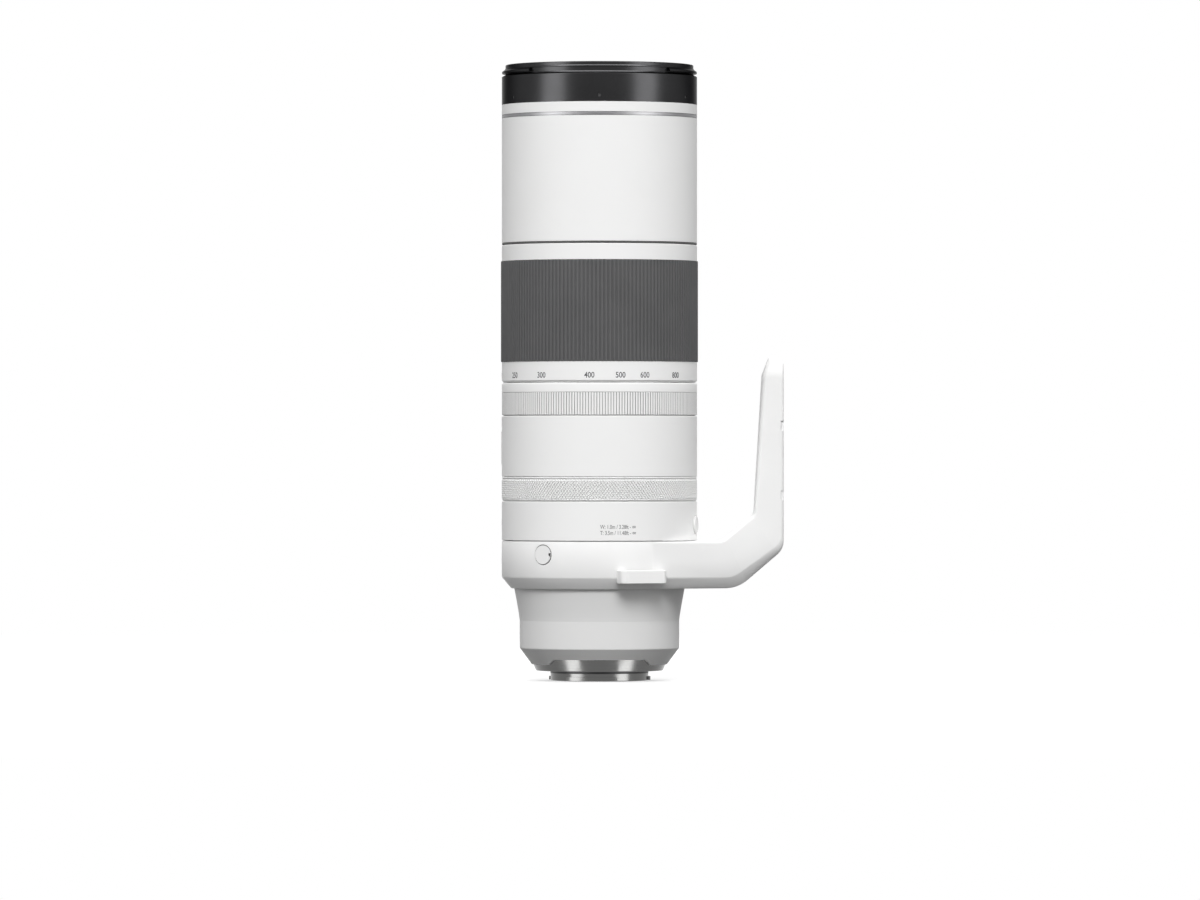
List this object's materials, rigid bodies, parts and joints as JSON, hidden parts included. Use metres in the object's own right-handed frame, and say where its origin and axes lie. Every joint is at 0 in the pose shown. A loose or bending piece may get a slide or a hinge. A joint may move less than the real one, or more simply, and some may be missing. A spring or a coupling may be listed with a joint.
{
  "type": "camera zoom lens",
  "caption": "Long telephoto zoom lens with a white barrel, rotating zoom, tension and focus rings, a black front ring and a rotating tripod collar with a long foot.",
  "frame": {"origin": "centre of the bayonet mount's flange plane", "axes": "+Z along the optical axis towards the front lens, +X towards the tripod foot, -X the top of the lens"},
  "size_m": [0.1465, 0.1191, 0.3192],
  "materials": {
    "white_shell": "off-white satin paint with a fine texture",
    "white_cast": "off-white satin paint on a casting",
    "white_metal": "off-white satin paint",
    "black_ring": "black satin",
    "black_metal": "black anodised",
    "black_plastic": "matt black",
    "inner_metal": "anodised grey",
    "cam_metal": "dark anodised",
    "trim_silver": "satin silver",
    "mount_metal": "turned and polished",
    "screw_steel": "plain steel",
    "grip_rubber": "matt dark grey",
    "seal_rubber": "matt black",
    "seal_felt": "black felt",
    "liner_plastic": "natural acetal",
    "gold_contacts": "gold plated",
    "board": "green solder mask",
    "switch_grey": "satin grey",
    "button_grey": "satin light grey",
    "knob_black": "matt black",
    "blade_black": "blackened steel sheet",
    "lens_glass": "coated",
    "front_glass": "coated with a faint green and purple sheen"
  },
  "bodies": {
    "barrel": {"mount_ring": "mount_metal", "mount_screws": "screw_steel", "mount_seal": "seal_rubber", "contact_block": "black_plastic", "contact_pins": "gold_contacts", "rear_baffle": "black_plastic", "rear_housing": "white_shell", "rear_cell": "black_metal", "rear_lenses": "lens_glass", "control_board": "board", "collar_retainer": "inner_metal", "collar_liners": "liner_plastic", "rear_barrel": "white_shell", "main_barrel": "white_shell", "guide_barrel": "inner_metal", "dust_seal": "seal_felt", "switch_panel": "white_shell"},
    "zoom_ring": {"zoom_ring": "white_shell", "zoom_grip": "grip_rubber", "cam_barrel": "cam_metal", "cam_screws": "screw_steel"},
    "front_group": {"extension_tube": "white_metal", "front_barrel": "white_shell", "trim_ring": "trim_silver", "name_ring": "white_shell", "filter_ring": "black_ring", "front_cell": "black_metal", "front_retainer": "black_plastic", "front_lenses": "front_glass", "front_followers": "liner_plastic"},
    "tension_ring": {"tension_ring": "white_shell"},
    "focus_ring": {"focus_ring": "white_shell"},
    "collar": {"tripod_collar": "white_cast", "tripod_bushes": "screw_steel", "collar_caps": "white_shell", "strap_lugs": "white_metal"},
    "lock_knob": {"lock_knob": "knob_black"},
    "focus_switch": {"focus_switch": "switch_grey"},
    "stabilizer_switch": {"stabilizer_switch": "switch_grey"},
    "function_button_1": {"function_button_1": "button_grey"},
    "function_button_2": {"function_button_2": "button_grey"},
    "zoom_carriage": {"zoom_carriage": "inner_metal", "carriage_followers": "liner_plastic", "variator_lens": "lens_glass", "focus_rods": "screw_steel", "focus_motor": "screw_steel"},
    "stabilizer_slider": {"stabilizer_slider": "inner_metal"},
    "stabilizer_cell": {"stabilizer_cell": "black_plastic", "stabilizer_lens": "lens_glass"},
    "focus_group": {"focus_cell": "black_plastic", "focus_lens": "lens_glass"},
    "iris_ring": {"iris_ring": "inner_metal"},
    "iris_blade_1": {"iris_blade_1": "blade_black"},
    "iris_blade_2": {"iris_blade_2": "blade_black"},
    "iris_blade_3": {"iris_blade_3": "blade_black"},
    "iris_blade_4": {"iris_blade_4": "blade_black"},
    "iris_blade_5": {"iris_blade_5": "blade_black"},
    "iris_blade_6": {"iris_blade_6": "blade_black"},
    "iris_blade_7": {"iris_blade_7": "blade_black"}
  },
  "joints": [
    {"name": "zoom_ring_turn", "type": "hinge", "parent": "barrel", "child": "zoom_ring", "pos_m": [0, 0, 0.185], "axis": [0, 0, -1], "range_deg": [0, 141]},
    {"name": "front_slide", "type": "slide", "parent": "barrel", "child": "front_group", "axis": [0, 0, 1], "range_m": [0, 0.09]},
    {"name": "carriage_slide", "type": "slide", "parent": "barrel", "child": "zoom_carriage", "axis": [0, 0, 1], "range_m": [0, 0.022]},
    {"name": "tension_turn", "type": "hinge", "parent": "barrel", "child": "tension_ring", "pos_m": [0, 0, 0.1406], "axis": [0, 0, 1], "range_deg": [0, 60]},
    {"name": "focus_ring_turn", "type": "hinge", "parent": "barrel", "child": "focus_ring", "pos_m": [0, 0, 0.0942], "axis": [0, 0, 1], "continuous": true},
    {"name": "collar_turn", "type": "hinge", "parent": "barrel", "child": "collar", "pos_m": [0, 0, 0.055], "axis": [0, 0, 1], "continuous": true},
    {"name": "knob_turn", "type": "hinge", "parent": "collar", "child": "lock_knob", "pos_m": [0, 0.0585, 0.055], "axis": [0, 1, 0], "range_deg": [0, 270]},
    {"name": "focus_switch_slide", "type": "slide", "parent": "barrel", "child": "focus_switch", "axis": [0, 0, 1], "range_m": [0, 0.004]},
    {"name": "stabilizer_switch_slide", "type": "slide", "parent": "barrel", "child": "stabilizer_switch", "axis": [0, 0, 1], "range_m": [0, 0.004]},
    {"name": "button_1_press", "type": "slide", "parent": "barrel", "child": "function_button_1", "axis": [-0.9781, 0.2079, 0], "range_m": [0, 0.0007], "stiffness_N_per_m": 400, "springref_m": -0.0005},
    {"name": "button_2_press", "type": "slide", "parent": "barrel", "child": "function_button_2", "axis": [0, -1, 0], "range_m": [0, 0.0007], "stiffness_N_per_m": 400, "springref_m": -0.0005},
    {"name": "stabilizer_y", "type": "slide", "parent": "zoom_carriage", "child": "stabilizer_slider", "axis": [0, 1, 0], "range_m": [-0.0008, 0.0008]},
    {"name": "stabilizer_x", "type": "slide", "parent": "stabilizer_slider", "child": "stabilizer_cell", "axis": [1, 0, 0], "range_m": [-0.0008, 0.0008]},
    {"name": "focus_slide", "type": "slide", "parent": "zoom_carriage", "child": "focus_group", "axis": [0, 0, 1], "range_m": [-0.007, 0.007]},
    {"name": "iris_turn", "type": "hinge", "parent": "zoom_carriage", "child": "iris_ring", "pos_m": [0, 0, 0.09], "axis": [0, 0, 1], "range_deg": [0, 30]},
    {"name": "blade_1_swing", "type": "hinge", "parent": "zoom_carriage", "child": "iris_blade_1", "pos_m": [0.02161, 0.00787, 0.086], "axis": [0, 0, 1], "range_deg": [0, 27.5]},
    {"name": "blade_2_swing", "type": "hinge", "parent": "zoom_carriage", "child": "iris_blade_2", "pos_m": [0.00732, 0.0218, 0.086], "axis": [0, 0, 1], "range_deg": [0, 27.5]},
    {"name": "blade_3_swing", "type": "hinge", "parent": "zoom_carriage", "child": "iris_blade_3", "pos_m": [-0.01248, 0.01932, 0.086], "axis": [0, 0, 1], "range_deg": [0, 27.5]},
    {"name": "blade_4_swing", "type": "hinge", "parent": "zoom_carriage", "child": "iris_blade_4", "pos_m": [-0.02289, 0.00229, 0.086], "axis": [0, 0, 1], "range_deg": [0, 27.5]},
    {"name": "blade_5_swing", "type": "hinge", "parent": "zoom_carriage", "child": "iris_blade_5", "pos_m": [-0.01606, -0.01647, 0.086], "axis": [0, 0, 1], "range_deg": [0, 27.5]},
    {"name": "blade_6_swing", "type": "hinge", "parent": "zoom_carriage", "child": "iris_blade_6", "pos_m": [0.00286, -0.02282, 0.086], "axis": [0, 0, 1], "range_deg": [0, 27.5]},
    {"name": "blade_7_swing", "type": "hinge", "parent": "zoom_carriage", "child": "iris_blade_7", "pos_m": [0.01963, -0.01199, 0.086], "axis": [0, 0, 1], "range_deg": [0, 27.5]}
  ],
  "couplings": [
    {"joint": "front_slide", "follows": "zoom_ring_turn", "m_per_rad": 0.036571},
    {"joint": "carriage_slide", "follows": "zoom_ring_turn", "m_per_rad": 0.0089397},
    {"joint": "blade_1_swing", "follows": "iris_turn", "ratio": 0.83},
    {"joint": "blade_2_swing", "follows": "iris_turn", "ratio": 0.83},
    {"joint": "blade_3_swing", "follows": "iris_turn", "ratio": 0.83},
    {"joint": "blade_4_swing", "follows": "iris_turn", "ratio": 0.83},
    {"joint": "blade_5_swing", "follows": "iris_turn", "ratio": 0.83},
    {"joint": "blade_6_swing", "follows": "iris_turn", "ratio": 0.83},
    {"joint": "blade_7_swing", "follows": "iris_turn", "ratio": 0.83}
  ]
}
